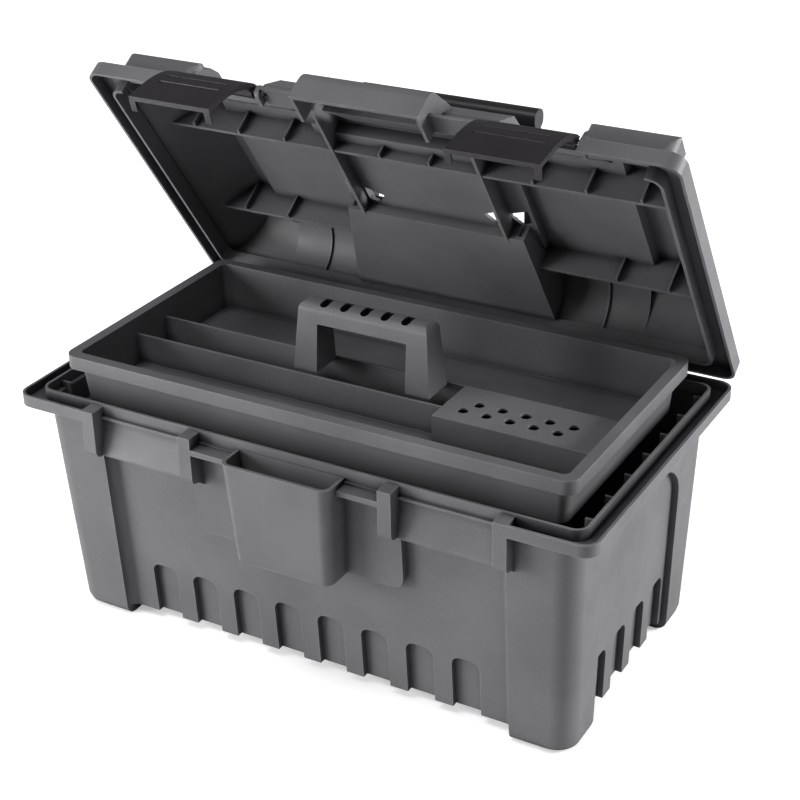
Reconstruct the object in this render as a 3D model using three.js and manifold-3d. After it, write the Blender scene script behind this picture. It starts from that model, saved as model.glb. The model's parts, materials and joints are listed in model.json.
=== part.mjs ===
// A moulded carpenter's toolbox: deep bin, hinged lid, lift-out tray, two draw latches and a carry
// handle that folds into the lid. Millimetres, +Z up, +X to the right, front towards -Y.
// Everything is drawn about the middle of the bin's flange. The finished group is then moved, so that the
// origin is on the ground under the middle of the whole open box.
import * as THREE from 'three';
import { mergeVertices } from 'three/addons/utils/BufferGeometryUtils.js';
import Module from 'manifold-3d';

const wasm = await Module();
wasm.setup();

// ---- driving dimensions ----

// Bin flange and lips
const FLANGE_X = 282.5;          // half length of the bin over its flange
const FLANGE_Y = 156.5;          // half width
const FLANGE_R = 14;
const FLANGE_LOW = 219;
const FLANGE_TOP = 230;
const SKIN = 2.5;                // flange and lip thickness
const LIP_X = 268;               // outer face of the raised inner lip
const LIP_Y = 141;
const LIP_R = 12;
const LIP_TOP = 232;

// Bin walls. Every outer wall leans outwards by its draft as it rises.
const DRAFT_X = 0.03;
const DRAFT_Y = 0.06;
const POST_X = 257;              // end faces of the corner posts at the ground
const POST_Y = 131;              // front faces of the posts at the ground
const POST_R = 20;
const POST_FOOT_R = 10;          // rounding under the posts
const POST_INNER_X = 201;        // where a post meets the front channel
const POST_INNER_Y = 83;         // where a post meets the end arch
const PANEL_Y = 120.5;           // recessed front panel at the ground
const ARCH_X = 251;              // recessed end panel at the ground
const ARCH_SPRING = 150;         // the arch starts to curve here
const ARCH_TOP = 197;
const FLOOR_UNDER = 9.5;         // the floor stands this far off the ground
const FLOOR_TOP = 13;
const WALL = 3;
const CORRUGATED_TOP = 70;       // the cavity is narrower below this height

// Grooves round the foot of the bin
const GROOVE_TOP = 65;
const GROOVE_DEPTH = 6;
const GROOVE_R = 9;
const FRONT_GROOVES = 8;
const FRONT_PITCH = 44.83;
const FRONT_WIDTH = 27;
const FRONT_FIRST = -157.9;      // middle of the first front groove
const END_GROOVES = 4;
const END_PITCH = 42;
const END_WIDTH = 26;

// Front of the bin: latch bays, brackets and the open-topped pocket
const BAY_IN = 105;              // a latch bay runs from here ...
const BAY_OUT = 196.5;           // ... to here
const EAR = 12.5;                // width of the block at each end of a bay
const LUG = 4;                   // thickness of the lid's plates that hold a latch pin
const LUG_R = 6.5;
const EAR_LOW = 184;
const EAR_R = 7;
const CATCH_HIGH = 209;
const CATCH_LOW = 187;
const CATCH_Y = 148;
const SHELF_TOP = 219.5;
const SHELF_LOW = 214.5;
const BOSS_X = 104;              // raised panel behind the pocket
const BOSS_LOW = 126;
const BOSS_PROUD = 8;
const POCKET_X = 53.5;
const POCKET_TAPER = 5;
const POCKET_TOP = 224;
const POCKET_LOW = 127;
const POCKET_FRONT = 170.5;
const POCKET_LEAN = 6.5;         // how far the pocket's front comes in at the bottom
const POCKET_WALL = 3;

// Inside the bin
const END_RIBS = 7;
const END_RIB_PITCH = 39;
const END_RIB_FIRST = -112;
const END_RIB_X = 256;
const SEAT_Z = 191;              // brackets that carry the tray's rim
const SEAT_Y = 119.5;
const SEAT_LOW = 150;
const SEAT_XS = [-170, -60, 60, 170];
const RIB_T = 3;

// Hinge between bin and lid
const AXIS_Y = 153.6;
const AXIS_Z = 230.3;
const LID_OPEN = 55.67;          // degrees open as built
const KNUCKLE_R = 5;
const KNUCKLE_W = 14;
const HINGE_XS = [-150, 150];
const PIN_R = 2;
const FIT = 0.35;                // play between pieces that touch

// Lid, with its sizes given as if it were shut
const LID_LOW = 235;
const LID_SHELF = 249;
const LID_LIP_X = 264.5;
const LID_LIP_Y = 137.5;
const LID_LIP_LOW = 233.5;
const LID_LIP_GAP = 250;         // the lid's lip is left out along the front, to this far each side
const LID_TOP = 290;
const END_TOP = 300;
const END_STEP = 200;            // the raised ends start here
const DOME_X = 268;
const DOME_FRONT = 141;
const DOME_REAR = 141;
const RIDGE_Y = 76;              // the plain front slope reaches the top here
const CHEEK_FRONT = [[-137, 266], [-120, 285], [-92, LID_TOP]];   // (y, z) up the front of a cheek ...
const END_FRONT = [[-137, 268], [-123, 284], [-88, END_TOP]];     // ... and of a raised end
const END_SHOULDER = [258, 256]; // (x, z) where the lid's ends start to slope in ...
const END_SLOPE_X = 224;         // ... and where they reach the top
const END_STEP_RUN = 3;
const CHEEK_IN = 61;
const CHEEK_OUT = 114;
const CORNER_BUMP = 187;
const CORNER_X = 266;            // the corner bumps wrap round to the ends
const CORNER_REAR = -108;
const CORNER_TOP = 285;
const NOSE_X = 61.5;
const NOSE_Y = 168;
const NOSE_TOP = 268;
const STRIP_FRONT = -57;
const STRIP_REAR = 74;
const STRIP_LOW = 263;
const GUSSET_PITCH = 49.5;
const GUSSET_FIRST = 24.75;
const GUSSETS = 5;
const REAR_GUSSETS_FROM = 3;     // the rear strips have only the outer ones
const REAR_RIB_X = 150;          // a low rib across the rounded rear
const REAR_RIB_DEEP = 2;
const CROSS_X = 74;
const CROSS_LOW = 262;

// Recess in the top of the lid for the folded handle, and the sloping hollow behind it
const RECESS_X = 96;
const RECESS_MID_X = 71;
const RECESS_FRONT = -67;
const RECESS_REAR = 62;
const RECESS_FLOOR = 277;
const RECESS_ARM_FLOOR = 282;
const HOLLOW_Y = 37;
const HOLLOW_HIGH = 266;         // floor of the hollow at its front edge
const HOLLOW_LOW_Y = 125;        // it meets the flange here
const HOLLOW_X = 88;
const HOLLOW_FLARE = 14;         // how much wider it gets on each side towards the rear
const SLOT_OUT = [76, 95];       // openings beside the handle's pivots, outside the cross wall ...
const SLOT_OUT_Y = [10, 36];
const SLOT_IN = [52, 70];        // ... and inside it
const SLOT_IN_Y = [10, 32];
const HANDLE_AXIS_Y = 50;
const HANDLE_AXIS_Z = 290;
const HANDLE_LUG_X = 68;
const HANDLE_OPEN = 33;          // degrees raised as built
const HANDLE_ARM = 102;
const HANDLE_HALF = 90;
const HANDLE_ARM_W = 11;
const GRIP_R = 9;

// Latches
const LATCH_IN = 109.5;
const LATCH_OUT = 192;
const LATCH_AXIS_Y = -150;
const LATCH_AXIS_Z = 247;
const LATCH_OPEN = 28;           // degrees off the catch as built
const LATCH_LOW = 181;
const LATCH_T = 4;               // rough thickness of the plate
const LATCH_WAIST_Z = 205;       // the plate is curved above this height and straight below
const LATCH_GRIP_INSET = 11;     // the grip grooves stop this far from the plate's sides
const LATCH_GROOVE_R = 2.4;
const HOOK_W = 6;
const LATCH_GROOVES = 3;
const LATCH_GROOVE_Z = 236;
const LATCH_GROOVE_PITCH = 13;
const LATCH_GROOVE_Y = [-164.2, -165.8, -165.8];

// Tray, raised as built
const TRAY_X = 251;
const TRAY_Y = 125;
const TRAY_R = 12;
const TRAY_Y0 = 1;
const TRAY_TOP = 262;
const TRAY_BAND = 13;
const TRAY_OVERHANG = 8;
const TRAY_DEEP = 47;
const TRAY_DRAFT = 0.08;
const TRAY_WALL = 2.5;
const DIVIDER_DROP = 16;
const DIVIDER_REAR = 13;
const DIVIDER_FRONT = -31;
const HOLE_SHELF_X = 84;
const HOLE_SHELF_FRONT = -48;
const HOLE_R = 5;                // bit holes in the shelf: two staggered rows
const HOLE_FIRST_X = 104;
const HOLE_FIRST_Y = -14;
const HOLE_PITCH = 22.2;
const HOLE_STAGGER = 8;
const HOLE_ROW_PITCH = 15;
const HOLES = 5;

// Tray handle
const GRIP_X = 69;
const GRIP_HIGH = 64;
const GRIP_DEEP_FOOT = 17;
const GRIP_DEEP_TOP = 12;
const GRIP_FOOT_W = 24;
const GRIP_THICK = 18;
const GRIP_LEAN = 4;             // how far the feet lean in as they rise
const GRIP_ROUND = 8;
const GRIP_SLOTS = 5;            // finger slots across the top
const GRIP_SLOT_PITCH = 20.5;
const GRIP_SLOT_W = 8;
const GRIP_SLOT_DEEP = 9;
const SLOT_HALF = 9;

const FAR = 400;                 // longer than the object, for cutters

// ---- helpers ----

function solid(geometry) {
  const plain = geometry.clone();
  plain.deleteAttribute('normal');
  plain.deleteAttribute('uv');
  const welded = mergeVertices(plain, 1e-4);
  const mesh = new wasm.Mesh({
    numProp: 3,
    vertProperties: new Float32Array(welded.attributes.position.array),
    triVerts: new Uint32Array(welded.index.array),
  });
  return new wasm.Manifold(mesh);
}

function geometryOf(manifold) {
  const mesh = manifold.getMesh();
  const geometry = new THREE.BufferGeometry();
  geometry.setAttribute('position', new THREE.BufferAttribute(new Float32Array(mesh.vertProperties), 3));
  geometry.setIndex(new THREE.BufferAttribute(new Uint32Array(mesh.triVerts), 1));
  return geometry;
}

function union(solids) {
  return solids.reduce((whole, next) => whole.add(next));
}

function polygon(points) {
  return new THREE.Shape(points.map(([u, v]) => new THREE.Vector2(u, v)));
}

function rounded(u0, u1, v0, v1, radius) {
  const shape = new THREE.Shape();
  const quarter = Math.PI / 2;
  shape.moveTo(u1, v0 + radius);
  shape.absarc(u1 - radius, v1 - radius, radius, 0, quarter, false);
  shape.absarc(u0 + radius, v1 - radius, radius, quarter, 2 * quarter, false);
  shape.absarc(u0 + radius, v0 + radius, radius, 2 * quarter, 3 * quarter, false);
  shape.absarc(u1 - radius, v0 + radius, radius, 3 * quarter, 4 * quarter, false);
  return shape;
}

function extrusion(shape, depth, curveSegments) {
  return new THREE.ExtrudeGeometry(shape, { depth, bevelEnabled: false, curveSegments });
}

// A shape drawn in (y, z), carried from x0 to x1
function alongX(shape, x0, x1, segments = 4) {
  const geometry = extrusion(shape, x1 - x0, segments);
  geometry.applyMatrix4(new THREE.Matrix4().set(0, 0, 1, x0, 1, 0, 0, 0, 0, 1, 0, 0, 0, 0, 0, 1));
  return geometry;
}

// A shape drawn in (x, z), carried from y0 to y1
function alongY(shape, y0, y1, segments = 4) {
  const geometry = extrusion(shape, y1 - y0, segments);
  geometry.applyMatrix4(new THREE.Matrix4().set(1, 0, 0, 0, 0, 0, -1, y1, 0, 1, 0, 0, 0, 0, 0, 1));
  return geometry;
}

// A shape drawn in (x, y), carried from z0 to z1
function alongZ(shape, z0, z1, segments = 4) {
  const geometry = extrusion(shape, z1 - z0, segments);
  geometry.translate(0, 0, z0);
  return geometry;
}

function block(x0, x1, y0, y1, z0, z1) {
  const geometry = new THREE.BoxGeometry(x1 - x0, y1 - y0, z1 - z0);
  geometry.translate((x0 + x1) / 2, (y0 + y1) / 2, (z0 + z1) / 2);
  return geometry;
}

function rodAlongX(radius, x0, x1, y, z, segments = 20) {
  const geometry = new THREE.CylinderGeometry(radius, radius, x1 - x0, segments);
  geometry.rotateZ(Math.PI / 2);
  geometry.translate((x0 + x1) / 2, y, z);
  return geometry;
}

// Moves every point outwards from the middle planes, by slopes that grow with height
function drafted(geometry, slopeX, slopeY, zero = 0) {
  const points = geometry.attributes.position;
  for (let i = 0; i < points.count; i += 1) {
    const rise = points.getZ(i) - zero;
    points.setX(i, points.getX(i) + Math.sign(points.getX(i)) * slopeX * rise);
    points.setY(i, points.getY(i) + Math.sign(points.getY(i)) * slopeY * rise);
  }
  return geometry;
}

// A drafted prism on a rounded rectangle
function tapered(x, y, radius, z0, z1, slopeX, slopeY, zero = 0) {
  return solid(drafted(alongZ(rounded(-x, x, -y, y, radius), z0, z1, 5), slopeX, slopeY, zero));
}

function mirroredX(manifold) {
  return manifold.mirror([1, 0, 0]);
}

function bothEnds(manifold) {
  return manifold.add(mirroredX(manifold));
}

// A node of the finished object
function piece(name, manifold, color) {
  const material = new THREE.MeshStandardMaterial({ color, roughness: 0.6, metalness: 0 });
  const mesh = new THREE.Mesh(geometryOf(manifold), material);
  mesh.name = name;
  return mesh;
}

// ---- bin ----

function binShell() {
  const levels = [];
  const roundSteps = 3;
  for (let i = 0; i <= roundSteps; i += 1) {
    const angle = (Math.PI / 2) * (i / roundSteps);
    levels.push({ z: POST_FOOT_R * (1 - Math.cos(angle)), inset: POST_FOOT_R * (1 - Math.sin(angle)) });
  }
  levels.push({ z: FLANGE_LOW + SKIN, inset: 0 });
  const geometry = new THREE.ExtrudeGeometry(
    rounded(-POST_X, POST_X, -POST_Y, POST_Y, POST_R),
    { depth: levels.length - 1, steps: levels.length - 1, bevelEnabled: false, curveSegments: 5 },
  );
  const points = geometry.attributes.position;
  for (let i = 0; i < points.count; i += 1) {
    const level = levels[Math.round(points.getZ(i))];
    points.setX(i, points.getX(i) - Math.sign(points.getX(i)) * level.inset);
    points.setY(i, points.getY(i) - Math.sign(points.getY(i)) * level.inset);
    points.setZ(i, level.z);
  }
  return solid(drafted(geometry, DRAFT_X, DRAFT_Y));
}

// The recess between the posts, on the front and the back, with filleted corners
function panelRecess() {
  const fillet = 8;
  const shape = new THREE.Shape();
  const inner = POST_INNER_X;
  shape.moveTo(inner, -FAR);
  shape.lineTo(inner, -PANEL_Y - fillet);
  shape.absarc(inner - fillet, -PANEL_Y - fillet, fillet, 0, Math.PI / 2, false);
  shape.absarc(fillet - inner, -PANEL_Y - fillet, fillet, Math.PI / 2, Math.PI, false);
  shape.lineTo(-inner, -FAR);
  const front = solid(drafted(alongZ(shape, -1, FLANGE_LOW, 4), 0, DRAFT_Y));
  return front.add(front.mirror([0, 1, 0]));
}

function archRecess() {
  const shape = new THREE.Shape();
  shape.moveTo(-POST_INNER_Y, -1);
  shape.lineTo(POST_INNER_Y, -1);
  shape.lineTo(POST_INNER_Y, ARCH_SPRING);
  shape.absellipse(0, ARCH_SPRING, POST_INNER_Y, ARCH_TOP - ARCH_SPRING, 0, Math.PI, false, 0);
  return bothEnds(solid(drafted(alongX(shape, ARCH_X, FAR, 10), DRAFT_X, 0)));
}

function underFloor() {
  const lengthways = solid(block(-POST_INNER_X, POST_INNER_X, -FAR, FAR, -1, FLOOR_UNDER));
  const across = solid(block(-FAR, FAR, -POST_INNER_Y, POST_INNER_Y, -1, FLOOR_UNDER));
  return lengthways.add(across);
}

function grooves() {
  const cutters = [];
  for (let i = 0; i < FRONT_GROOVES; i += 1) {
    const middle = FRONT_FIRST + FRONT_PITCH * i;
    const shape = rounded(middle - FRONT_WIDTH / 2, middle + FRONT_WIDTH / 2, -GROOVE_TOP, GROOVE_TOP, GROOVE_R);
    cutters.push(solid(drafted(alongY(shape, -FAR, GROOVE_DEPTH - PANEL_Y), 0, DRAFT_Y)));
    cutters.push(solid(drafted(alongY(shape, PANEL_Y - GROOVE_DEPTH, FAR), 0, DRAFT_Y)));
  }
  for (let i = 0; i < END_GROOVES; i += 1) {
    const middle = END_PITCH * (i - (END_GROOVES - 1) / 2);
    const shape = rounded(middle - END_WIDTH / 2, middle + END_WIDTH / 2, -GROOVE_TOP, GROOVE_TOP, GROOVE_R);
    cutters.push(bothEnds(solid(drafted(alongX(shape, ARCH_X - GROOVE_DEPTH, FAR), DRAFT_X, 0))));
  }
  return union(cutters);
}

// The room inside the bin. A ledge under the flange joins the walls to the lip.
function binCavity() {
  const top = LIP_TOP + 1;
  const ledge = FLANGE_LOW + SKIN;
  const grooveWall = GROOVE_DEPTH + WALL;
  const low = tapered(ARCH_X - grooveWall, PANEL_Y - grooveWall, 10, FLOOR_TOP, CORRUGATED_TOP + 1,
    DRAFT_X, DRAFT_Y);
  const main = tapered(ARCH_X - WALL, PANEL_Y - WALL, 8, CORRUGATED_TOP, top, DRAFT_X, DRAFT_Y);
  const overArch = solid(drafted(block(ARCH_X - 2 * WALL, POST_X - WALL, -PANEL_Y, PANEL_Y,
    ARCH_TOP + WALL, ledge + 1), DRAFT_X, 0));
  const corner = solid(drafted(alongZ(
    rounded(POST_INNER_X + WALL, POST_X - WALL, POST_INNER_Y + WALL, POST_Y - WALL, POST_R - WALL),
    FLOOR_TOP + WALL, ledge + 1), DRAFT_X, DRAFT_Y));
  const corners = bothEnds(corner.add(corner.mirror([0, 1, 0])));
  const lipHole = solid(alongZ(rounded(SKIN - LIP_X, LIP_X - SKIN, SKIN - LIP_Y, LIP_Y - SKIN, LIP_R - SKIN),
    ledge, top));
  return union([low, main, bothEnds(overArch), corners, lipHole]);
}

function binFlange() {
  const plate = solid(alongZ(rounded(-FLANGE_X, FLANGE_X, -FLANGE_Y, FLANGE_Y, FLANGE_R), FLANGE_LOW, FLANGE_TOP));
  const channel = solid(alongZ(
    rounded(SKIN - FLANGE_X, FLANGE_X - SKIN, SKIN - FLANGE_Y, FLANGE_Y - SKIN, FLANGE_R - SKIN),
    FLANGE_LOW + SKIN, FLANGE_TOP + 1));
  const lip = solid(alongZ(rounded(-LIP_X, LIP_X, -LIP_Y, LIP_Y, LIP_R), FLANGE_LOW, LIP_TOP));
  const frontGap = solid(block(-BAY_OUT, BAY_OUT, -FAR, -LIP_Y, FLANGE_LOW - 1, LIP_TOP));
  return plate.subtract(channel).subtract(frontGap).add(lip);
}

// A block at the end of a latch bay, rounded under its nose
function ear(x0, x1, low) {
  const shape = new THREE.Shape();
  shape.moveTo(-LIP_Y + WALL, FLANGE_TOP);
  shape.lineTo(-FLANGE_Y, FLANGE_TOP);
  shape.absarc(EAR_R - FLANGE_Y, low + EAR_R, EAR_R, Math.PI, 1.5 * Math.PI, false);
  shape.lineTo(-CATCH_Y, low);
  shape.lineTo(-PANEL_Y - DRAFT_Y * low, low - EAR);
  shape.lineTo(-PANEL_Y, low);
  return solid(alongX(shape, x0, x1));
}

function latchBay() {
  const catchShape = polygon([
    [-PANEL_Y - WALL, LIP_TOP - SKIN],
    [-LIP_Y, LIP_TOP - SKIN],
    [-LIP_Y, CATCH_HIGH],
    [-CATCH_Y, CATCH_LOW],
    [-CATCH_Y, CATCH_LOW - WALL],
    [-PANEL_Y - WALL, CATCH_LOW - WALL],
  ]);
  return union([
    solid(alongX(catchShape, BAY_IN - 1, BAY_OUT + 1)),
    ear(BAY_OUT, BAY_OUT + EAR, EAR_LOW),
    ear(BAY_IN - EAR, BAY_IN, EAR_LOW),
    solid(block(POCKET_X - 1, BAY_IN - 1, -FLANGE_Y, -PANEL_Y - WALL, SHELF_LOW, SHELF_TOP)),
  ]);
}

function pocketBoss() {
  const shape = rounded(-BOSS_X, BOSS_X, BOSS_LOW, FLANGE_LOW, EAR);
  return solid(drafted(alongY(shape, -PANEL_Y - BOSS_PROUD, -PANEL_Y + 1), 0, DRAFT_Y));
}

// The pocket narrows and comes in towards its foot
function pocketForm(offset, low, top, back) {
  const front = POCKET_FRONT - offset;
  const half = POCKET_X - offset;
  const radius = 10 - offset;
  const shape = new THREE.Shape();
  shape.moveTo(half, -back);
  shape.lineTo(-half, -back);
  shape.absarc(radius - half, radius - front, radius, Math.PI, 1.5 * Math.PI, false);
  shape.absarc(half - radius, radius - front, radius, 1.5 * Math.PI, 2 * Math.PI, false);
  const geometry = alongZ(shape, low, top, 4);
  const points = geometry.attributes.position;
  const height = POCKET_TOP - POCKET_LOW;
  for (let i = 0; i < points.count; i += 1) {
    const drop = (POCKET_TOP - points.getZ(i)) / height;
    points.setX(i, points.getX(i) * (1 - (drop * POCKET_TAPER) / POCKET_X));
    if (points.getY(i) < -back) points.setY(i, points.getY(i) + drop * POCKET_LEAN);
  }
  return solid(geometry);
}

function seatBrackets() {
  const wallAt = (z) => PANEL_Y - 1 + DRAFT_Y * z;
  const shape = polygon([
    [wallAt(SEAT_LOW), SEAT_LOW],
    [wallAt(SEAT_Z), SEAT_Z],
    [SEAT_Y, SEAT_Z],
    [SEAT_Y, SEAT_Z - WALL],
  ]);
  const rows = SEAT_XS.map((x) => solid(alongX(shape, x - RIB_T / 2, x + RIB_T / 2)));
  const row = union(rows);
  return row.add(row.mirror([0, 1, 0]));
}

function endRibs() {
  const ribs = [];
  for (let i = 0; i < END_RIBS; i += 1) {
    const y = END_RIB_FIRST + END_RIB_PITCH * i;
    ribs.push(solid(block(END_RIB_X, LIP_X - 1, y - 1.25, y + 1.25, ARCH_TOP, LIP_TOP - 2 * SKIN)));
  }
  return bothEnds(union(ribs));
}

function binKnuckles() {
  const parts = [];
  for (const x of HINGE_XS) {
    for (const side of [-1, 1]) {
      const middle = x + side * (KNUCKLE_W + FIT);
      const [x0, x1] = [middle - KNUCKLE_W / 2, middle + KNUCKLE_W / 2];
      parts.push(solid(rodAlongX(KNUCKLE_R, x0, x1, AXIS_Y, AXIS_Z)));
      parts.push(solid(block(x0, x1, AXIS_Y - KNUCKLE_R + 1, AXIS_Y + KNUCKLE_R - 1, FLANGE_LOW, AXIS_Z)));
    }
  }
  return union(parts);
}

function lidKnuckleGaps() {
  const half = KNUCKLE_W / 2 + FIT;
  return union(HINGE_XS.map((x) => solid(block(x - half, x + half, AXIS_Y - 2 * KNUCKLE_R + 2, FLANGE_Y + 5,
    AXIS_Z - KNUCKLE_R - 2 * FIT, FLANGE_TOP + 5))));
}

function pinHoles() {
  const reach = 2 * KNUCKLE_W;
  return union(HINGE_XS.map((x) => solid(rodAlongX(PIN_R + FIT, x - reach, x + reach, AXIS_Y, AXIS_Z))));
}

function makeBin() {
  const bays = latchBay();
  const outside = binShell()
    .subtract(panelRecess())
    .subtract(archRecess())
    .add(binFlange())
    .add(bays.add(mirroredX(bays)))
    .add(pocketBoss())
    .subtract(underFloor())
    .subtract(grooves());
  const pocket = pocketForm(0, POCKET_LOW, POCKET_TOP, PANEL_Y + BOSS_PROUD);
  const pocketHole = pocketForm(POCKET_WALL, POCKET_LOW + POCKET_WALL, POCKET_TOP + 1, LIP_Y + 1);
  return outside
    .subtract(binCavity())
    .add(pocket.subtract(binCavity()))
    .subtract(pocketHole)
    .add(seatBrackets())
    .add(endRibs())
    .add(binKnuckles())
    .subtract(lidKnuckleGaps())
    .subtract(pinHoles());
}

// ---- lid ----

// Side profile of the dome in (y, z), set in from its outside by an offset
function domeProfile(kind, offset) {
  const top = (kind === 'end' ? END_TOP : LID_TOP) - offset;
  const front = {
    slope: [[-RIDGE_Y, LID_TOP]],
    cheek: CHEEK_FRONT,
    end: END_FRONT,
  }[kind].map(([y, z]) => [y + offset, Math.min(z - offset / 2, top)]);
  const shape = new THREE.Shape();
  shape.moveTo(-DOME_FRONT + offset, LID_SHELF - SKIN);
  shape.lineTo(-DOME_FRONT + offset, LID_SHELF);
  front.forEach(([y, z]) => shape.lineTo(y, z));
  const rise = top - LID_SHELF;
  const curve = DOME_REAR - offset - rise;
  shape.lineTo(curve, top);
  shape.absarc(curve, LID_SHELF, rise, Math.PI / 2, 0, true);
  shape.lineTo(DOME_REAR - offset, LID_SHELF - SKIN);
  return shape;
}

// Front profile of the dome in (x, z): it slopes in at the ends, which stand higher than the middle
function endProfile(offset) {
  const side = [
    [DOME_X - offset, LID_SHELF - SKIN],
    [DOME_X - offset, LID_SHELF],
    [END_SHOULDER[0] - offset, END_SHOULDER[1]],
    [END_SLOPE_X - offset, END_TOP - offset],
    [END_STEP + offset, END_TOP - offset],
    [END_STEP - END_STEP_RUN + offset, LID_TOP - offset],
  ];
  const other = side.map(([x, z]) => [-x, z]).reverse();
  return polygon([...side, ...other]);
}

// The bumps at the front corners, which carry on round to the ends
function cornerBumps(offset) {
  const plan = rounded(CORNER_BUMP + offset, CORNER_X - offset, -DOME_FRONT + offset, CORNER_REAR - offset,
    12 - offset);
  const upright = alongZ(plan, LID_SHELF - SKIN, CORNER_TOP - offset, 4);
  const crown = new THREE.Shape();
  const [front, rear, low, top] = [-DOME_FRONT + offset, CORNER_REAR, LID_SHELF - SKIN, CORNER_TOP - offset];
  crown.moveTo(rear, low);
  crown.lineTo(rear, top);
  crown.lineTo(front + 18, top);
  crown.quadraticCurveTo(front + 3, top - 2, front, top - 24);
  crown.lineTo(front, low);
  const ends = rounded(CORNER_BUMP + offset, CORNER_X - offset, low - 20, top, 12);
  return bothEnds(solid(upright)
    .intersect(solid(alongX(crown, CORNER_BUMP - 1, CORNER_X + 1, 5)))
    .intersect(solid(alongY(ends, -FAR, FAR, 4))));
}

function dome(offset) {
  const slope = solid(alongX(domeProfile('slope', offset), -DOME_X, DOME_X, 8));
  const end = bothEnds(solid(alongX(domeProfile('end', offset), CORNER_BUMP + offset, DOME_X, 8)));
  const cheek = bothEnds(solid(alongX(domeProfile('cheek', offset), CHEEK_IN - 5, CHEEK_OUT - offset, 8)));
  const limits = solid(alongY(endProfile(offset), -FLANGE_Y, FLANGE_Y));
  return slope.add(end).add(cheek).intersect(limits).add(cornerBumps(offset));
}

// The nose over the pocket
function nose() {
  const shape = new THREE.Shape();
  shape.moveTo(-DOME_FRONT + 10, LID_LOW);
  shape.lineTo(-NOSE_Y, LID_LOW);
  shape.lineTo(-NOSE_Y, NOSE_TOP - 14);
  shape.quadraticCurveTo(-NOSE_Y + 1, NOSE_TOP - 3, -NOSE_Y + 12, NOSE_TOP);
  shape.lineTo(-DOME_FRONT + 8, NOSE_TOP + 9);
  shape.lineTo(-DOME_FRONT + 24, NOSE_TOP + 13);
  shape.lineTo(-DOME_FRONT + 34, LID_TOP - 26);
  return solid(alongX(shape, -NOSE_X, NOSE_X));
}

// Its inside opens into the dome and downwards
function noseHollow() {
  const shape = polygon([
    [-DOME_FRONT + 16, LID_LIP_LOW - 1],
    [WALL - NOSE_Y, LID_LIP_LOW - 1],
    [WALL - NOSE_Y, NOSE_TOP - 16],
    [WALL - NOSE_Y + 9, NOSE_TOP - WALL],
    [-DOME_FRONT + 8, NOSE_TOP + 5],
    [-DOME_FRONT + 16, NOSE_TOP - 2],
  ]);
  return solid(alongX(shape, WALL - NOSE_X, NOSE_X - WALL));
}

function lidFlange() {
  const outer = solid(alongZ(rounded(-FLANGE_X, FLANGE_X, -FLANGE_Y, FLANGE_Y, FLANGE_R), LID_LOW, LID_SHELF));
  const channel = solid(alongZ(
    rounded(SKIN - FLANGE_X, FLANGE_X - SKIN, SKIN - FLANGE_Y, FLANGE_Y - SKIN, FLANGE_R - SKIN),
    LID_LOW - 1, LID_SHELF - SKIN));
  const lip = solid(alongZ(rounded(-LID_LIP_X, LID_LIP_X, -LID_LIP_Y, LID_LIP_Y, LIP_R), LID_LIP_LOW, LID_SHELF));
  const lipGap = solid(block(-LID_LIP_GAP, LID_LIP_GAP, -FAR, LIP_R - LID_LIP_Y, LID_LIP_LOW - 1, LID_SHELF - SKIN));
  const bay = solid(block(BAY_IN, BAY_OUT, -FAR, -DOME_FRONT, LID_LOW - 1, LID_SHELF + 1));
  const skirtGap = solid(block(NOSE_X, BAY_IN, -FAR, -DOME_FRONT, LID_LOW - 1, LID_SHELF - SKIN));
  return outer.subtract(channel)
    .add(lip.subtract(lipGap))
    .subtract(bothEnds(bay.add(skirtGap)))
    .add(bothEnds(latchLug(BAY_IN - LUG).add(latchLug(BAY_OUT))));
}

// A rounded plate beside a latch bay, which holds one end of the latch's pin
function latchLug(x) {
  const shape = new THREE.Shape();
  shape.moveTo(-DOME_FRONT + 1, LATCH_AXIS_Z - LUG_R);
  shape.lineTo(-DOME_FRONT + 1, LID_SHELF + LUG_R / 2);
  shape.lineTo(LATCH_AXIS_Y, LATCH_AXIS_Z + LUG_R);
  shape.absarc(LATCH_AXIS_Y, LATCH_AXIS_Z, LUG_R, Math.PI / 2, 1.5 * Math.PI, false);
  return solid(alongX(shape, x, x + LUG, 6));
}

// Stiffening walls that hang from the lid's ceiling, with gussets on their front faces
function lidRibs() {
  const parts = [];
  const wall = (y, x0, x1) => parts.push(solid(block(x0, x1, y - RIB_T / 2, y + RIB_T / 2, STRIP_LOW, END_TOP)));
  wall(STRIP_FRONT, -DOME_X, DOME_X);
  wall(STRIP_REAR, CROSS_X, DOME_X);
  wall(STRIP_REAR, -DOME_X, -CROSS_X);
  for (const side of [-1, 1]) {
    const x = side * CROSS_X;
    parts.push(solid(block(x - RIB_T / 2, x + RIB_T / 2, -DOME_FRONT, STRIP_REAR, CROSS_LOW, END_TOP)));
    for (let i = 0; i < GUSSETS; i += 1) {
      const gusset = side * (GUSSET_FIRST + GUSSET_PITCH * i);
      for (const y of [STRIP_FRONT, STRIP_REAR]) {
        if (y === STRIP_REAR && i < REAR_GUSSETS_FROM) continue;
        parts.push(solid(block(gusset - 1, gusset + 1, y - 6.5, y, STRIP_LOW, END_TOP)));
      }
    }
  }
  return union(parts);
}

// Low ribs that follow the rounded rear of the dome
function rearRibs() {
  const [x0, x1] = [REAR_RIB_X - 1, REAR_RIB_X + 1];
  const slice = solid(block(x0, x1, STRIP_REAR, DOME_REAR, LID_SHELF, END_TOP));
  return bothEnds(slice).intersect(dome(1)).subtract(dome(WALL + REAR_RIB_DEEP));
}

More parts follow.
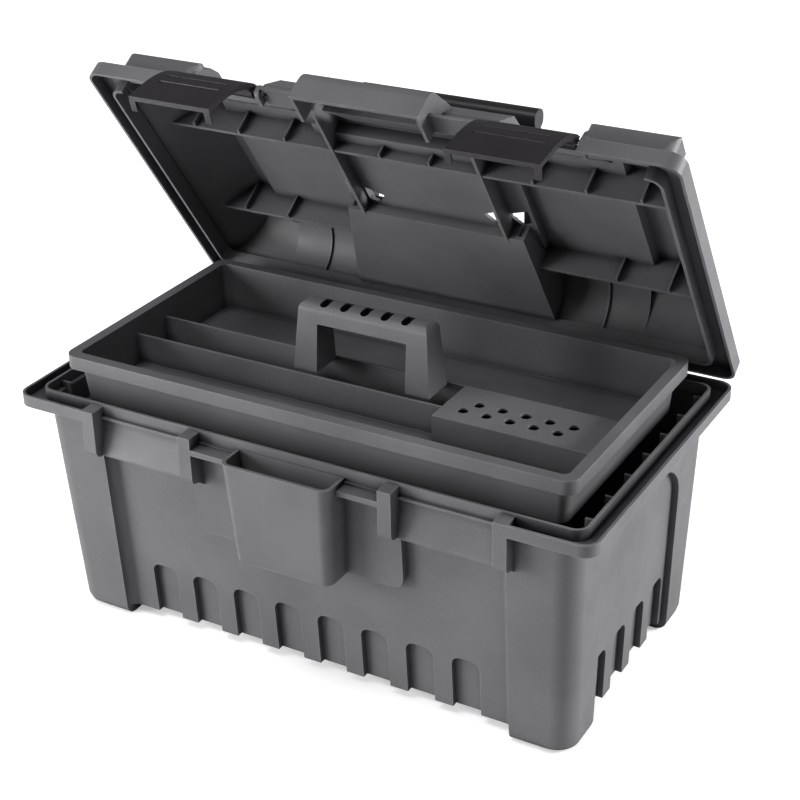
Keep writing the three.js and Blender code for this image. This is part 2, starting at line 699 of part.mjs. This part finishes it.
// Everything that sinks into the top of the lid, grown by an offset to leave a wall round it
function topRecess(offset) {
  const high = END_TOP + 20;
  const middle = solid(block(-RECESS_MID_X - offset, RECESS_MID_X + offset, RECESS_FRONT - offset,
    RECESS_REAR, RECESS_FLOOR - offset, high));
  const arms = solid(block(-RECESS_X - offset, RECESS_X + offset, RECESS_FRONT - offset,
    RECESS_REAR + offset, RECESS_ARM_FLOOR - offset, high));
  const side = polygon([
    [HOLLOW_Y - offset, HOLLOW_HIGH - offset],
    [HOLLOW_LOW_Y, LID_SHELF - offset],
    [DOME_REAR + 20, LID_SHELF - offset],
    [DOME_REAR + 20, high],
    [HOLLOW_Y - offset, high],
  ]);
  const rearHalf = HOLLOW_X + HOLLOW_FLARE;
  const plan = polygon([
    [-HOLLOW_X - offset, HOLLOW_Y - offset],
    [HOLLOW_X + offset, HOLLOW_Y - offset],
    [rearHalf + offset, HOLLOW_LOW_Y],
    [rearHalf + offset, DOME_REAR + 20],
    [-rearHalf - offset, DOME_REAR + 20],
    [-rearHalf - offset, HOLLOW_LOW_Y],
  ]);
  const hollow = solid(alongX(side, -FAR, FAR)).intersect(solid(alongZ(plan, LID_LOW - 10, high)));
  return middle.add(arms).add(hollow);
}

function pivotSlots() {
  const slot = ([x0, x1], [y0, y1]) => {
    const shape = polygon([[x0, y0 + 8], [x1, y0], [x1, y1 - 6], [(x0 + x1) / 2, y1], [x0, y1 - 12]]);
    return solid(alongZ(shape, RECESS_FLOOR - 10, END_TOP + 20));
  };
  return bothEnds(slot(SLOT_OUT, SLOT_OUT_Y).add(slot(SLOT_IN, SLOT_IN_Y)));
}

function handleLugs() {
  const [x0, x1] = [HANDLE_LUG_X - 8, HANDLE_LUG_X];
  const eye = solid(rodAlongX(6, x0, x1, HANDLE_AXIS_Y, HANDLE_AXIS_Z));
  const foot = solid(block(x0, x1, HANDLE_AXIS_Y - 6, HANDLE_AXIS_Y + 6, HOLLOW_HIGH - 4, HANDLE_AXIS_Z));
  return bothEnds(eye.add(foot));
}

function lidKnuckles() {
  const parts = [];
  for (const x of HINGE_XS) {
    const [x0, x1] = [x - KNUCKLE_W / 2, x + KNUCKLE_W / 2];
    parts.push(solid(rodAlongX(KNUCKLE_R, x0, x1, AXIS_Y, AXIS_Z)));
    parts.push(solid(block(x0, x1, AXIS_Y - KNUCKLE_R + 1, AXIS_Y + KNUCKLE_R - 1, AXIS_Z, LID_SHELF - 1)));
  }
  return union(parts);
}

// Room in the lid's flange for the bin's knuckles
function binKnuckleGaps() {
  const half = 1.5 * KNUCKLE_W + 2 * FIT;
  return union(HINGE_XS.map((x) => solid(block(x - half, x + half, AXIS_Y - 2 * KNUCKLE_R, FLANGE_Y + 5,
    LID_LOW - 5, AXIS_Z + KNUCKLE_R + 2))));
}

function latchPinHoles() {
  return bothEnds(solid(rodAlongX(PIN_R + FIT, BAY_IN - 9, BAY_OUT + 9, LATCH_AXIS_Y, LATCH_AXIS_Z)));
}

function handlePinHoles() {
  return bothEnds(solid(rodAlongX(PIN_R + FIT, HANDLE_LUG_X - 9, HANDLE_LUG_X + 1, HANDLE_AXIS_Y, HANDLE_AXIS_Z)));
}

function makeLid() {
  const mouth = tapered(LID_LIP_X - SKIN, LID_LIP_Y - SKIN, LIP_R - SKIN, LID_LIP_LOW - 1, LID_SHELF + 1, 0, 0);
  const aboveShelf = solid(block(-FAR, FAR, -FAR, FAR, LID_SHELF, END_TOP));
  const outside = dome(0).add(nose()).add(lidFlange());
  const inside = dome(WALL).intersect(aboveShelf).add(noseHollow()).add(mouth);
  const ribs = lidRibs().intersect(dome(1)).add(rearRibs());
  const underDome = solid(block(-LID_LIP_X, LID_LIP_X, -LID_LIP_Y, LID_LIP_Y, LID_LIP_LOW, LID_SHELF));
  const walls = topRecess(WALL).intersect(dome(0).add(underDome));
  return outside
    .subtract(inside)
    .add(ribs)
    .add(walls)
    .subtract(topRecess(0))
    .subtract(pivotSlots())
    .add(handleLugs())
    .subtract(binKnuckleGaps())
    .add(lidKnuckles())
    .subtract(handlePinHoles())
    .subtract(pinHoles())
    .subtract(latchPinHoles());
}

// ---- latches ----

// A curved plate on a barrel, with three grip grooves, drawn latched
function latchPlate() {
  const plate = new THREE.Shape();
  plate.moveTo(LATCH_AXIS_Y - 3, LATCH_AXIS_Z + 6.5);
  plate.quadraticCurveTo(-167, 240, -160.5 - LATCH_T, LATCH_WAIST_Z);
  plate.lineTo(-157.5 - LATCH_T, LATCH_LOW);
  plate.lineTo(-157.5, LATCH_LOW);
  plate.lineTo(-160.5, LATCH_WAIST_Z);
  plate.quadraticCurveTo(-162, 236, LATCH_AXIS_Y, LATCH_AXIS_Z - 4);
  return solid(alongX(plate, LATCH_IN, LATCH_OUT, 6));
}

function makeLatch() {
  const barrel = solid(rodAlongX(4.5, LATCH_IN, LATCH_OUT, LATCH_AXIS_Y, LATCH_AXIS_Z));
  const hookTop = CATCH_LOW - WALL - FIT;
  const hook = polygon([[-160, hookTop], [-160, LATCH_LOW], [-156, LATCH_LOW], [-147, hookTop - 1], [-147, hookTop]]);
  const hooks = [LATCH_IN, LATCH_OUT - HOOK_W].map((x) => solid(alongX(hook, x, x + HOOK_W)));
  const grooveCuts = [];
  for (let i = 0; i < LATCH_GROOVES; i += 1) {
    const z = LATCH_GROOVE_Z - LATCH_GROOVE_PITCH * i;
    grooveCuts.push(solid(rodAlongX(LATCH_GROOVE_R, LATCH_IN + LATCH_GRIP_INSET, LATCH_OUT - LATCH_GRIP_INSET,
      LATCH_GROOVE_Y[i], z, 8)));
  }
  return union([latchPlate(), barrel, ...hooks])
    .subtract(union(grooveCuts))
    .subtract(solid(rodAlongX(PIN_R + FIT, LATCH_IN - 1, LATCH_OUT + 1, LATCH_AXIS_Y, LATCH_AXIS_Z)));
}

function makeLatchPin() {
  return solid(rodAlongX(PIN_R, BAY_IN - LUG - 1, BAY_OUT + LUG + 1, LATCH_AXIS_Y, LATCH_AXIS_Z));
}

// ---- carry handle ----

// Drawn folded flat in its recess, as a bow from one pivot round to the other
function makeCarryHandle() {
  const front = HANDLE_AXIS_Y - HANDLE_ARM;
  const inner = HANDLE_HALF - HANDLE_ARM_W;
  const [low, high] = [HANDLE_AXIS_Z - 5, HANDLE_AXIS_Z + 6];
  const arm = solid(block(inner, HANDLE_HALF, front, HANDLE_AXIS_Y, low, high));
  const eye = solid(rodAlongX(5.5, inner, HANDLE_HALF, HANDLE_AXIS_Y, HANDLE_AXIS_Z));
  const grip = solid(alongX(rounded(front - GRIP_R, front + GRIP_R, HANDLE_AXIS_Z - 7, HANDLE_AXIS_Z + 11, 8),
    -HANDLE_HALF, HANDLE_HALF, 4));
  const stub = solid(rodAlongX(PIN_R, HANDLE_LUG_X - 8, inner + 1, HANDLE_AXIS_Y, HANDLE_AXIS_Z));
  return bothEnds(arm.add(eye).add(stub)).add(grip);
}

// ---- tray ----

function makeTray() {
  const low = TRAY_TOP - TRAY_DEEP;
  const bodyX = TRAY_X - TRAY_OVERHANG;
  const bodyY = TRAY_Y - TRAY_OVERHANG;
  const form = (inset, radius, z0, z1) => tapered(bodyX - inset, bodyY - inset, radius, z0, z1,
    TRAY_DRAFT, TRAY_DRAFT, TRAY_TOP);
  const rim = solid(alongZ(rounded(-TRAY_X, TRAY_X, -TRAY_Y, TRAY_Y, TRAY_R), TRAY_TOP - TRAY_BAND, TRAY_TOP));
  const underRim = solid(alongZ(
    rounded(TRAY_WALL - TRAY_X, TRAY_X - TRAY_WALL, TRAY_WALL - TRAY_Y, TRAY_Y - TRAY_WALL, TRAY_R - TRAY_WALL),
    TRAY_TOP - TRAY_BAND - 1, TRAY_TOP - TRAY_WALL));
  const room = form(TRAY_WALL, 6, low + TRAY_WALL, TRAY_TOP + 1);
  const dividerTop = TRAY_TOP - DIVIDER_DROP;
  const wallY = (y, x0, x1) => solid(block(x0, x1, y - TRAY_WALL / 2, y + TRAY_WALL / 2, low, dividerTop));
  const shelf = solid(block(HOLE_SHELF_X, bodyX, HOLE_SHELF_FRONT, DIVIDER_REAR, dividerTop - TRAY_WALL, dividerTop));
  const shelfEnd = solid(block(HOLE_SHELF_X, HOLE_SHELF_X + TRAY_WALL, HOLE_SHELF_FRONT, DIVIDER_REAR,
    low, dividerTop));
  const inner = union([
    wallY(DIVIDER_REAR, -bodyX, bodyX),
    wallY(DIVIDER_FRONT, -bodyX, HOLE_SHELF_X + 1),
    wallY(HOLE_SHELF_FRONT, HOLE_SHELF_X, bodyX),
    shelf,
    shelfEnd,
  ]).intersect(form(1, 7, low + 1, TRAY_TOP));
  const holes = [];
  for (let row = 0; row < 2; row += 1) {
    for (let i = 0; i < HOLES; i += 1) {
      const hole = new THREE.CylinderGeometry(HOLE_R, HOLE_R, 2 * TRAY_WALL + 2, 14);
      const x = HOLE_FIRST_X + HOLE_STAGGER * (1 - row) + HOLE_PITCH * i;
      hole.rotateX(Math.PI / 2);
      hole.translate(x, HOLE_FIRST_Y - HOLE_ROW_PITCH * row, dividerTop);
      holes.push(solid(hole));
    }
  }
  return rim.subtract(underRim)
    .add(form(0, 9, low, TRAY_TOP))
    .subtract(room)
    .add(inner)
    .subtract(union(holes))
    .translate([0, TRAY_Y0, 0]);
}

function makeTrayHandle() {
  const low = TRAY_TOP - DIVIDER_DROP + FIT;
  const top = low + GRIP_HIGH;
  const outline = new THREE.Shape();
  const shoulder = GRIP_X - GRIP_LEAN;
  outline.moveTo(-GRIP_X, low);
  outline.lineTo(-shoulder, top - GRIP_ROUND);
  outline.quadraticCurveTo(-shoulder, top, GRIP_ROUND - shoulder, top);
  outline.lineTo(shoulder - GRIP_ROUND, top);
  outline.quadraticCurveTo(shoulder, top, shoulder, top - GRIP_ROUND);
  outline.lineTo(GRIP_X, low);
  outline.lineTo(GRIP_X - GRIP_FOOT_W, low);
  outline.lineTo(GRIP_X - GRIP_FOOT_W, top - GRIP_THICK);
  outline.lineTo(GRIP_FOOT_W - GRIP_X, top - GRIP_THICK);
  outline.lineTo(GRIP_FOOT_W - GRIP_X, low);
  const arch = solid(alongY(outline, -GRIP_DEEP_FOOT, GRIP_DEEP_FOOT, 4));
  const side = new THREE.Shape();
  side.moveTo(-GRIP_DEEP_FOOT, low - 1);
  side.lineTo(GRIP_DEEP_FOOT, low - 1);
  side.lineTo(GRIP_DEEP_TOP, top - GRIP_ROUND);
  side.quadraticCurveTo(GRIP_DEEP_TOP, top, 0, top);
  side.quadraticCurveTo(-GRIP_DEEP_TOP, top, -GRIP_DEEP_TOP, top - GRIP_ROUND);
  const rounding = solid(alongX(side, -GRIP_X, GRIP_X, 5));
  const slots = [];
  for (let i = 0; i < GRIP_SLOTS; i += 1) {
    const x = GRIP_SLOT_PITCH * (i - (GRIP_SLOTS - 1) / 2);
    const slot = rounded(x - GRIP_SLOT_W / 2, x + GRIP_SLOT_W / 2, -SLOT_HALF, SLOT_HALF, 3.5);
    slots.push(solid(alongZ(slot, top - GRIP_SLOT_DEEP, top + 2)));
  }
  const middle = (DIVIDER_REAR + DIVIDER_FRONT) / 2 + TRAY_Y0;
  return arch.intersect(rounding)
    .subtract(union(slots))
    .translate([0, middle, 0]);
}

// ---- poses and assembly ----

function turnedAboutX(manifold, degrees, y, z) {
  return manifold.translate([0, -y, -z]).rotate([degrees, 0, 0]).translate([0, y, z]);
}

function withLid(manifold) {
  return turnedAboutX(manifold, -LID_OPEN, AXIS_Y, AXIS_Z);
}

function withLatch(manifold) {
  return withLid(turnedAboutX(manifold, -LATCH_OPEN, LATCH_AXIS_Y, LATCH_AXIS_Z));
}

const GREY = 0x5d5c5f;
const BLACK = 0x1d1b1d;
const STEEL = 0xb4b6ba;

const group = new THREE.Group();
group.name = 'carpenter_toolbox';
const latch = makeLatch();
const latchPin = makeLatchPin();
const handle = turnedAboutX(makeCarryHandle(), -HANDLE_OPEN, HANDLE_AXIS_Y, HANDLE_AXIS_Z);

group.add(piece('bin', makeBin(), GREY));
group.add(piece('lid', withLid(makeLid()), GREY));
group.add(piece('tray', makeTray(), GREY));
group.add(piece('tray_handle', makeTrayHandle(), GREY));
group.add(piece('latch_left', withLatch(mirroredX(latch)), BLACK));
group.add(piece('latch_right', withLatch(latch), BLACK));
group.add(piece('latch_pin_left', withLid(mirroredX(latchPin)), STEEL));
group.add(piece('latch_pin_right', withLid(latchPin), STEEL));
group.add(piece('carry_handle', withLid(handle), BLACK));
HINGE_XS.forEach((x, i) => {
  const pin = solid(rodAlongX(PIN_R, x - 1.5 * KNUCKLE_W, x + 1.5 * KNUCKLE_W, AXIS_Y, AXIS_Z));
  group.add(piece(i === 0 ? 'hinge_pin_left' : 'hinge_pin_right', pin, STEEL));
});

const extent = new THREE.Box3().setFromObject(group);
const middleY = (extent.min.y + extent.max.y) / 2;
group.position.set(0, -Math.round(middleY * 16) / 16, 0);

export default group;
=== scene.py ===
"""Looks for the carpenter's toolbox: materials and soft edges on the CAD nodes, a floor, lamps and a camera.

Lengths are in metres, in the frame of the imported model. The camera's place is set out from the lid hinge in
the frame, and the lamps and the floor from the frame's origin.
"""

import json
import math

import bpy
from mathutils import Matrix, Vector

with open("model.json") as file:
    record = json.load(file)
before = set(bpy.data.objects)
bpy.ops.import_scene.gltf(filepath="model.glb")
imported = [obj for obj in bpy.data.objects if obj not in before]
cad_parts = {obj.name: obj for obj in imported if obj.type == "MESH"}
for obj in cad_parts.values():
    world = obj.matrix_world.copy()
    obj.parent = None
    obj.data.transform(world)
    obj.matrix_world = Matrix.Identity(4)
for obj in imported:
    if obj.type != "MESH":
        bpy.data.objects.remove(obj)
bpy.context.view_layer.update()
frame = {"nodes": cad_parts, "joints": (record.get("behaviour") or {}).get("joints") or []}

# ---- driving sizes ----

HINGE_Y = 0.1536                 # lid hinge behind the middle of the bin's flange
EDGE_SOFT = 0.0009               # width of the softened moulded edges
PIN_SOFT = 0.0003                # width of the softened edges of the pins
EDGE_WEAR_AND_HIGHLIGHT = 0.0015               # width of the paler line along an edge, partly scuffing and partly painted highlight
BEVEL_ANGLE = math.radians(28)   # edges sharper than this are softened
BEVEL_SEGMENTS = 2
FLAT_ANGLE = math.radians(0.4)   # faces flatter than this are one face
WELD = 0.00001                   # corners closer than this are one corner
NORMAL_WEIGHT = 80               # how far the large faces lead the shading

# Camera: angles in degrees, lens and sensor in millimetres
CAMERA_AZIMUTH = 30.0
CAMERA_ELEVATION = 27.36
CAMERA_ROLL = -1.22
CAMERA_DISTANCE = 1.6116
CAMERA_LENS = 78.56
CAMERA_SENSOR = 36
CAMERA_AIM = Vector((0.0015, 0.0421, 0.1993))   # from the ground under the middle of the flange

# Colours, linear
BODY_GREY = (0.106, 0.106, 0.111)
TRAY_GREY = (0.102, 0.102, 0.107)
BLACK = (0.020, 0.018, 0.020)
STEEL = (0.55, 0.56, 0.58)
FLOOR_WHITE = (0.90, 0.90, 0.91)
TARNISH = (0.30, 0.30, 0.31)
PAINTED_SHADE_COLOUR = (0.016, 0.013, 0.017)  # painted shade: the colour laid deep in corners and grooves, where shade falls

# Masks: the span of a measure over which each one goes from 0 to 1
EDGE_TURN = (0.995, 0.86)        # cosine between the rounded normal and the true one
PAINTED_SHADE_OPENNESS = (0.82, 0.36)      # share of the surroundings that a point can see, for the painted shade in corners
PAINTED_SHADE_REACH = 0.016            # how far off the surroundings count for the painted shade
SHADER_SAMPLES = 6

# Moulded plastic, its noises: scale, detail and roughness
CLOUDS = (9.0, 3.0, 0.55)
SPECKS = (900.0, 2.0, 0.7)
FLOW = (45.0, 4.0, 0.55)
GRAIN = (1500.0, 3.0, 0.65)

# Moulded plastic: the span of each noise that is used, and what it does
CLOUD_SPAN = (0.35, 0.65)
CLOUD_SHADES = (0.88, 1.14)      # shades of the colour that the clouds run between
SPECK_SPAN = (0.52, 0.72)
SPECK_SHADE = 1.9
SPECK_SHARE = 0.32               # strongest mix of the speck's shade
# The paler edge line, partly scuffing and partly a painted highlight:
WEAR_AND_HIGHLIGHT_SPAN = (0.38, 0.62)
WEAR_AND_HIGHLIGHT_SHARE = (0.1, 0.55)         # weakest and strongest mix of the paler edge colour, scuffing and painted highlight
WEAR_AND_HIGHLIGHT_SHADE = 2.8
GLOSS_SPAN = (0.3, 0.7)
GLOSS_CHANGE = (-0.06, 0.07)     # added to the roughness
GRAIN_DEPTH = 0.00035
WAVE_DEPTH = 0.0012
WAVE_STRENGTH = 0.12
PLASTIC_SPECULAR = 0.28

# Each plastic: colour, roughness, strength of the grain and amount of the paler edge, scuffing and painted
# highlight
PLASTICS = {
    "body_plastic": (BODY_GREY, 0.46, 0.34, 1.0),
    "tray_plastic": (TRAY_GREY, 0.44, 0.30, 0.8),
    "black_plastic": (BLACK, 0.36, 0.20, 0.5),
}

# Drawn steel
RING_SCALE = 300.0
RING_DISTORTION = 1.5
RING_DETAIL = 2.0
RING_DEPTH = 0.0001
RING_STRENGTH = 0.15
SPOTS = (160.0, 4.0, 0.55)       # noise of the tarnish: scale, detail and roughness
SPOT_SPAN = (0.4, 0.7)
SPOT_SHARE = 0.5                 # strongest mix of the tarnish
STEEL_ROUGHNESS = 0.32

# Floor and light
FLOOR_SIZE = 30
FLOOR_ROUGHNESS = 0.6
FLOOR_GLOW = (0.40, 0.95)        # near the box and far from it, seen by the camera only
FLOOR_SPAN = (0.45, 2.0)         # distances over which the glow rises
AMBIENT = 0.14                   # surround light; the camera sees the surround as white
LAMP_AIM = (0, 0, 0.2)
LAMPS = {                        # place, side of the square lamp and power in watts
    "key": ((-1.35, -1.15, 0.42), 1.0, 42),
    "side": ((2.1, 1.0, 1.0), 0.8, 80),
    "top": ((-0.3, -0.8, 2.0), 0.9, 20),
}


def joint(name):
    """The joint of that name."""
    return next(j for j in frame["joints"] if j["name"] == name)


flange_middle = Vector((0, joint("lid_hinge")["pos_m"][1] - HINGE_Y, 0))


# ---- node helpers ----

def new_material(name):
    """An empty node material and its node maker and linker."""
    material = bpy.data.materials.new(name)
    material.use_nodes = True
    tree = material.node_tree
    tree.nodes.clear()

    def node(kind, **inputs):
        made = tree.nodes.new(kind)
        for key, value in inputs.items():
            made.inputs[key.replace("_", " ")].default_value = value
        return made

    return material, tree, node


def noise(tree, node, place, scale, detail, roughness):
    """A noise texture in object space."""
    made = node("ShaderNodeTexNoise", Scale=scale, Detail=detail, Roughness=roughness)
    tree.links.new(place.outputs["Object"], made.inputs["Vector"])
    return made


def remap(tree, node, source, low, high, to_low, to_high):
    """A value carried from one span to another."""
    made = node("ShaderNodeMapRange")
    for key, value in (("From Min", low), ("From Max", high), ("To Min", to_low), ("To Max", to_high)):
        made.inputs[key].default_value = value
    tree.links.new(source, made.inputs["Value"])
    return made.outputs["Result"]


def edge_mask(tree, node, radius):
    """1 along sharp edges and 0 on flat faces, from how far a rounded normal turns."""
    soft = node("ShaderNodeBevel", Radius=radius)
    soft.samples = SHADER_SAMPLES
    place = node("ShaderNodeNewGeometry")
    dot = tree.nodes.new("ShaderNodeVectorMath")
    dot.operation = "DOT_PRODUCT"
    tree.links.new(soft.outputs["Normal"], dot.inputs[0])
    tree.links.new(place.outputs["True Normal"], dot.inputs[1])
    return remap(tree, node, dot.outputs["Value"], *EDGE_TURN, 0.0, 1.0)


def painted_shade_mask(tree, node):
    """Painted shade: 1 deep in corners and grooves, where shade falls, and 0 on open faces."""
    occlusion = node("ShaderNodeAmbientOcclusion", Distance=PAINTED_SHADE_REACH)
    occlusion.samples = SHADER_SAMPLES
    return remap(tree, node, occlusion.outputs["AO"], *PAINTED_SHADE_OPENNESS, 0.0, 1.0)


def mix_colour(tree, factor, a, b):
    """A colour mixed by a factor; a and b are colours or outputs."""
    made = tree.nodes.new("ShaderNodeMix")
    made.data_type = "RGBA"
    for socket, value in ((made.inputs["A"], a), (made.inputs["B"], b)):
        _put(tree, socket, value)
    _put(tree, made.inputs["Factor"], factor)
    return made.outputs["Result"]


def _put(tree, socket, value):
    """Links an output to a socket, or sets the socket's own value."""
    if isinstance(value, bpy.types.NodeSocket):
        tree.links.new(value, socket)
    elif isinstance(value, tuple):
        socket.default_value = (*value, 1.0)
    else:
        socket.default_value = value


def shade(colour, factor):
    """A paler or darker version of a colour."""
    return tuple(min(1.0, c * factor) for c in colour)


def moulded_plastic(name, colour, roughness, grain, wear_and_highlight):
    """Grained polypropylene: mottled colour, a spark-eroded grain in the bump, paler edges that are partly
    scuffing and partly painted highlight, and painted shade in corners and grooves.
    """
    material, tree, node = new_material(name)
    place = node("ShaderNodeTexCoord")
    clouds = noise(tree, node, place, *CLOUDS)
    specks = noise(tree, node, place, *SPECKS)
    flow = noise(tree, node, place, *FLOW)

    mottle = remap(tree, node, clouds.outputs["Fac"], *CLOUD_SPAN, 0.0, 1.0)
    darker, paler = (shade(colour, factor) for factor in CLOUD_SHADES)
    base = mix_colour(tree, mottle, darker, paler)
    speckle = remap(tree, node, specks.outputs["Fac"], *SPECK_SPAN, 0.0, SPECK_SHARE)
    speck = mix_colour(tree, speckle, base, shade(colour, SPECK_SHADE))
    edges = edge_mask(tree, node, EDGE_WEAR_AND_HIGHLIGHT)
    edge_break = tree.nodes.new("ShaderNodeMath")
    edge_break.operation = "MULTIPLY"
    tree.links.new(edges, edge_break.inputs[0])
    weakest, strongest = (share * wear_and_highlight for share in WEAR_AND_HIGHLIGHT_SHARE)
    breaks = remap(tree, node, flow.outputs["Fac"], *WEAR_AND_HIGHLIGHT_SPAN, weakest, strongest)
    tree.links.new(breaks, edge_break.inputs[1])
    # paler edges: partly scuffing, partly a painted highlight along the rounded edges
    scuffed_and_highlit = mix_colour(tree, edge_break.outputs["Value"], speck, shade(colour, WEAR_AND_HIGHLIGHT_SHADE))
    # painted shade: the colour darkens deep in corners and grooves
    final = mix_colour(tree, painted_shade_mask(tree, node), scuffed_and_highlit, PAINTED_SHADE_COLOUR)

    grain_noise = noise(tree, node, place, *GRAIN)
    bump = node("ShaderNodeBump", Strength=grain, Distance=GRAIN_DEPTH)
    tree.links.new(grain_noise.outputs["Fac"], bump.inputs["Height"])
    waves = node("ShaderNodeBump", Strength=WAVE_STRENGTH, Distance=WAVE_DEPTH)
    tree.links.new(flow.outputs["Fac"], waves.inputs["Height"])
    tree.links.new(bump.outputs["Normal"], waves.inputs["Normal"])

    surface = node("ShaderNodeBsdfPrincipled")
    surface.inputs["Specular IOR Level"].default_value = PLASTIC_SPECULAR
    tree.links.new(final, surface.inputs["Base Color"])
    smoothest, roughest = (roughness + change for change in GLOSS_CHANGE)
    gloss = remap(tree, node, flow.outputs["Fac"], *GLOSS_SPAN, smoothest, roughest)
    tree.links.new(gloss, surface.inputs["Roughness"])
    tree.links.new(waves.outputs["Normal"], surface.inputs["Normal"])
    output = node("ShaderNodeOutputMaterial")
    tree.links.new(surface.outputs["BSDF"], output.inputs["Surface"])
    return material


def drawn_steel(name):
    """Drawn steel rod: fine rings round the rod and a little tarnish."""
    material, tree, node = new_material(name)
    place = node("ShaderNodeTexCoord")
    rings = node("ShaderNodeTexWave", Scale=RING_SCALE, Distortion=RING_DISTORTION, Detail=RING_DETAIL)
    tree.links.new(place.outputs["Object"], rings.inputs["Vector"])
    tarnish = noise(tree, node, place, *SPOTS)
    dulled = remap(tree, node, tarnish.outputs["Fac"], *SPOT_SPAN, 0.0, SPOT_SHARE)
    colour = mix_colour(tree, dulled, STEEL, TARNISH)
    bump = node("ShaderNodeBump", Strength=RING_STRENGTH, Distance=RING_DEPTH)
    tree.links.new(rings.outputs["Fac"], bump.inputs["Height"])
    surface = node("ShaderNodeBsdfPrincipled", Metallic=1.0, Roughness=STEEL_ROUGHNESS)
    tree.links.new(colour, surface.inputs["Base Color"])
    tree.links.new(bump.outputs["Normal"], surface.inputs["Normal"])
    output = node("ShaderNodeOutputMaterial")
    tree.links.new(surface.outputs["BSDF"], output.inputs["Surface"])
    return material


# ---- finishing the CAD nodes ----

def soften(piece, radius):
    """Joins coplanar faces, rounds the sharp edges and evens the shading."""
    weld = piece.modifiers.new("weld", "WELD")
    weld.merge_threshold = WELD
    flat = piece.modifiers.new("flat", "DECIMATE")
    flat.decimate_type = "DISSOLVE"
    flat.angle_limit = FLAT_ANGLE
    bevel = piece.modifiers.new("edges", "BEVEL")
    bevel.width = radius
    bevel.segments = BEVEL_SEGMENTS
    bevel.limit_method = "ANGLE"
    bevel.angle_limit = BEVEL_ANGLE
    bevel.use_clamp_overlap = True
    bevel.harden_normals = False
    smooth_shading(piece)


def smooth_shading(piece):
    """Smooth shading with weighted normals, so that the flat faces stay flat."""
    for face in piece.data.polygons:
        face.use_smooth = True
    weighted = piece.modifiers.new("normals", "WEIGHTED_NORMAL")
    weighted.keep_sharp = True
    weighted.weight = NORMAL_WEIGHT


def finish_cad_nodes():
    """Puts the materials and the soft edges on the CAD nodes."""
    body, tray, black = (moulded_plastic(name, *finish) for name, finish in PLASTICS.items())
    steel = drawn_steel("drawn_steel")
    looks = {
        "bin": body, "lid": body, "tray": tray, "tray_handle": tray,
        "latch_left": black, "latch_right": black, "carry_handle": black,
        "latch_pin_left": steel, "latch_pin_right": steel,
        "hinge_pin_left": steel, "hinge_pin_right": steel,
    }
    for name, material in looks.items():
        piece = frame["nodes"][name]
        piece.data.materials.clear()
        piece.data.materials.append(material)
        soften(piece, PIN_SOFT if "pin" in name else EDGE_SOFT)


# ---- stage, light and camera ----

def make_floor():
    """A plain pale floor; its glow, seen by the camera only, rises where the lamps' light falls off."""
    bpy.ops.mesh.primitive_plane_add(size=FLOOR_SIZE)
    floor = bpy.context.object
    floor.name = "floor"
    material, tree, node = new_material("floor")
    surface = node("ShaderNodeBsdfPrincipled", Roughness=FLOOR_ROUGHNESS)
    surface.inputs["Base Color"].default_value = (*FLOOR_WHITE, 1)
    surface.inputs["Emission Color"].default_value = (1, 1, 1, 1)
    place = node("ShaderNodeNewGeometry")
    far = tree.nodes.new("ShaderNodeVectorMath")
    far.operation = "LENGTH"
    tree.links.new(place.outputs["Position"], far.inputs[0])
    rays = node("ShaderNodeLightPath")
    glow = node("ShaderNodeMath")
    glow.operation = "MULTIPLY"
    tree.links.new(rays.outputs["Is Camera Ray"], glow.inputs[0])
    rising = remap(tree, node, far.outputs["Value"], *FLOOR_SPAN, *FLOOR_GLOW)
    tree.links.new(rising, glow.inputs[1])
    tree.links.new(glow.outputs["Value"], surface.inputs["Emission Strength"])
    output = node("ShaderNodeOutputMaterial")
    tree.links.new(surface.outputs["BSDF"], output.inputs["Surface"])
    floor.data.materials.append(material)


def area_light(name, place, aim, size, power):
    """A square soft light at a place, turned to a point."""
    data = bpy.data.lights.new(name, "AREA")
    data.size = size
    data.energy = power
    lamp = bpy.data.objects.new(name, data)
    bpy.context.collection.objects.link(lamp)
    lamp.location = place
    lamp.rotation_euler = (Vector(aim) - Vector(place)).to_track_quat("-Z", "Y").to_euler()


def make_light():
    """A low key lamp at the front left, one behind on the right, one above, and a white surround."""
    world = bpy.data.worlds.new("surround")
    bpy.context.scene.world = world
    world.use_nodes = True
    tree = world.node_tree
    background = tree.nodes["Background"]
    background.inputs["Color"].default_value = (1, 1, 1, 1)
    rays = tree.nodes.new("ShaderNodeLightPath")
    strength = tree.nodes.new("ShaderNodeMapRange")
    strength.inputs["To Min"].default_value = AMBIENT
    strength.inputs["To Max"].default_value = 1.0
    tree.links.new(rays.outputs["Is Camera Ray"], strength.inputs["Value"])
    tree.links.new(strength.outputs["Result"], background.inputs["Strength"])
    for name, (place, size, power) in LAMPS.items():
        area_light(name, place, LAMP_AIM, size, power)
    bpy.context.scene.view_settings.view_transform = "Standard"


def make_camera():
    """A three-quarter view from the front right, looking down into the open box."""
    azimuth, elevation, roll = (math.radians(a) for a in (CAMERA_AZIMUTH, CAMERA_ELEVATION, CAMERA_ROLL))
    level = math.cos(elevation)
    back = Vector((math.sin(azimuth) * level, -math.cos(azimuth) * level, math.sin(elevation)))
    right = (-back).cross(Vector((0, 0, 1))).normalized()
    up = right.cross(-back)
    turn = Matrix((right, up, back)).transposed() @ Matrix.Rotation(roll, 3, "Z")
    data = bpy.data.cameras.new("camera")
    data.sensor_width = CAMERA_SENSOR
    data.lens = CAMERA_LENS
    camera = bpy.data.objects.new("camera", data)
    bpy.context.collection.objects.link(camera)
    place = flange_middle + CAMERA_AIM + back * CAMERA_DISTANCE
    camera.matrix_world = Matrix.Translation(place) @ turn.to_4x4()
    bpy.context.scene.camera = camera


finish_cad_nodes()
make_floor()
make_light()
make_camera()
